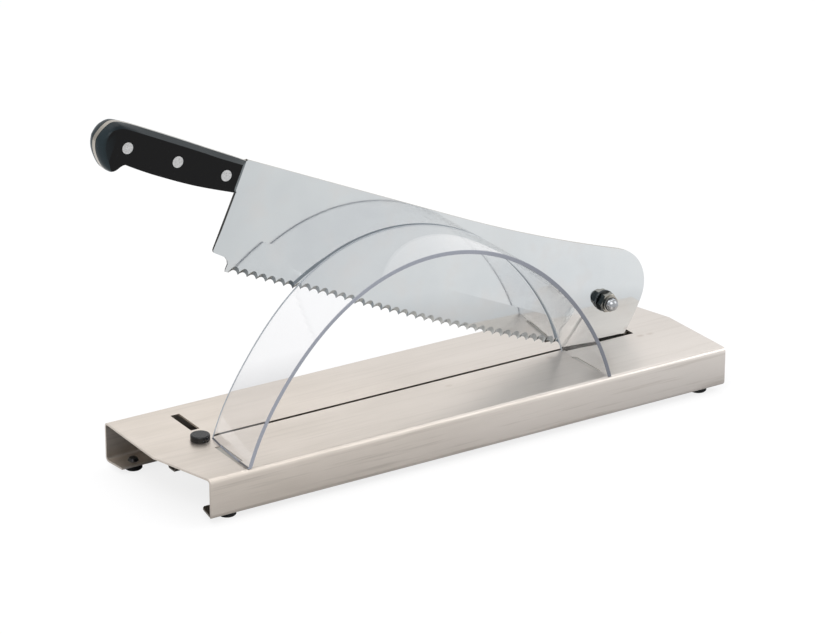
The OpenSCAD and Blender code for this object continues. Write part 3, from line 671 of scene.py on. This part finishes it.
def make_scale(name, node, plane, side, fuller):
    """A scale on one side of the tang, whose face outline lies the share fuller nearer to the tang's."""
    tang = outline(TANG_OUTLINE, TANG_MARKS)
    face = [f.lerp(t, fuller) for f, t in zip(outline(FACE_OUTLINE, FACE_MARKS), tang)]
    count = len(tang)
    kinds = [kind for kind, n in zip(SPAN_KINDS, SPAN_POINTS) for _ in range(n)]
    verts = []
    for depth in DEPTHS:
        for k in range(count):
            near = [read_off(kinds[(k + j) % count], depth) for j in range(-KIND_BLEND, KIND_BLEND + 1)]
            if kinds[k] is SLOPE and (k < KIND_BLEND or k > count - SPAN_POINTS[-1]):
                near = [depth]
            p = tang[k].lerp(face[k], sum(near) / len(near))
            if depth == 0:
                run = (tang[(k + 1) % count] - tang[k - 1]).normalized()
                p += JOINT_EDGE * Vector((run.y, -run.x))
            verts.append(on_arm(p.x, plane + side * depth * SCALE_T, p.y))
    faces = between_rings(len(DEPTHS), count)
    faces.append(tuple(range(count)))
    faces.append(tuple(range(len(verts) - count, len(verts))))
    piece = make_piece(name, verts, faces, "blade_arm", (handle_plastic,), SCALE_SHARP)
    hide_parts(node)
    cut_rivet_holes(piece, plane, side)


make_scale("front_scale", "handle_scale_front", TANG_FRONT, -1, 0)
make_scale("rear_scale", "handle_scale_rear", TANG_BACK, 1, 0.35)


# Floor, light and background. The floor and the world are white where they are seen, and only in
# reflections is the floor darker near and under the base, and the world darker towards one side.
FLOOR_HALF = 6.0
FLOOR_GLOW = 0.8
FLOOR_TONE = srgb(131, 131, 132)
FLOOR_AS_LIGHT = srgb(235, 235, 236)
NEAR_SHADE = 0.42
SHADE_REACH = 0.11
UNDER_SHADE = 0.06
UNDER_FROM = -0.012
UNDER_TO = -0.002
WORLD_LIGHT = 0.6
FLAG_WAY = (-0.61, 0.78, 0.1)
FLAG_CORE = 22
FLAG_RIM = 42
FLAG_DARK = 0.6
# Lamps: name, place, what it points at, width and height, power
LAMPS = (("key", (-1.2, -1.4, 2.2), (0, 0, 0.1), (1.6, 1.2), 22),
         ("fill", (1.8, -0.9, 1.3), (0, 0, 0.1), (1.2, 1.2), 9),
         ("top", (0.1, 0.6, 2.4), (0, 0, 0), (2.2, 1.6), 14))


def floor_shade(g):
    """How dark reflections show the floor, from its distance to the base plate's footprint."""
    low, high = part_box("base_plate")
    past = []
    for letter, a, b in zip("XY", low, high):
        off = g.math("ABSOLUTE", g.math("SUBTRACT", g.axis("Object", letter), (a + b) / 2))
        past.append(g.math("SUBTRACT", off, (b - a) / 2))
    squares = [g.math("POWER", g.math("MAXIMUM", side, 0.0), 2.0) for side in past]
    away = g.math("SQRT", g.math("ADD", *squares))
    near = g.ramp(away, 0, SHADE_REACH, NEAR_SHADE, 1)
    under = g.ramp(g.math("MAXIMUM", *past), UNDER_FROM, UNDER_TO, UNDER_SHADE, 1)
    return g.math("MULTIPLY", near, under)


def make_floor():
    h = FLOOR_HALF
    mesh = bpy.data.meshes.new("floor")
    mesh.from_pydata([(-h, -h, 0), (h, -h, 0), (h, h, 0), (-h, h, 0)], [], [(0, 1, 2, 3)])
    floor = bpy.data.objects.new("floor", mesh)
    bpy.context.scene.collection.objects.link(floor)
    g = Graph("floor_paper").set(Roughness=1.0, Specular_IOR_Level=0.0, Base_Color=FLOOR_TONE)
    strength = g.math("MULTIPLY", g.for_gloss(floor_shade(g)), FLOOR_GLOW)
    glow = g.node("ShaderNodeEmission", {"Color": WHITE, "Strength": strength})
    both = g.node("ShaderNodeAddShader", {0: g.shader.outputs[0], 1: glow.outputs[0]})
    plain = g.node("ShaderNodeBsdfDiffuse", {"Color": FLOOR_AS_LIGHT})
    pick = g.node("ShaderNodeMixShader", {0: g.seen_directly(), 1: plain.outputs[0], 2: both.outputs[0]})
    g.feed(g.output.inputs[0], pick.outputs[0])
    mesh.materials.append(g.material)


def make_world():
    world = bpy.data.worlds.new("studio")
    bpy.context.scene.world = world
    world.use_nodes = True
    world.node_tree.nodes.clear()
    n = Nodes(world.node_tree)
    way = n.node("ShaderNodeVectorMath", {0: n.node("ShaderNodeTexCoord").outputs["Generated"],
                                          1: Vector(FLAG_WAY).normalized()}, operation="DOT_PRODUCT")
    flag = n.ramp(way.outputs["Value"], math.cos(math.radians(FLAG_RIM)), math.cos(math.radians(FLAG_CORE)),
                  1, FLAG_DARK, interpolation_type="SMOOTHSTEP")
    seen = n.node("ShaderNodeBackground", {"Color": WHITE, "Strength": n.for_gloss(flag)})
    lit = n.node("ShaderNodeBackground", {"Color": WHITE, "Strength": WORLD_LIGHT})
    pick = n.node("ShaderNodeMixShader", {0: n.seen_directly(), 1: lit.outputs[0], 2: seen.outputs[0]})
    n.node("ShaderNodeOutputWorld", {0: pick.outputs[0]})


def make_lamp(name, place, aim, size, power):
    lamp = bpy.data.objects.new(name, bpy.data.lights.new(name, "AREA"))
    bpy.context.scene.collection.objects.link(lamp)
    lamp.location = place
    lamp.rotation_euler = (Vector(aim) - Vector(place)).to_track_quat("-Z", "Y").to_euler()
    lamp.data.shape = "RECTANGLE"
    lamp.data.size, lamp.data.size_y = size
    lamp.data.energy = power


make_floor()
make_world()
for lamp_values in LAMPS:
    make_lamp(*lamp_values)

bpy.context.scene.view_settings.view_transform = "Standard"
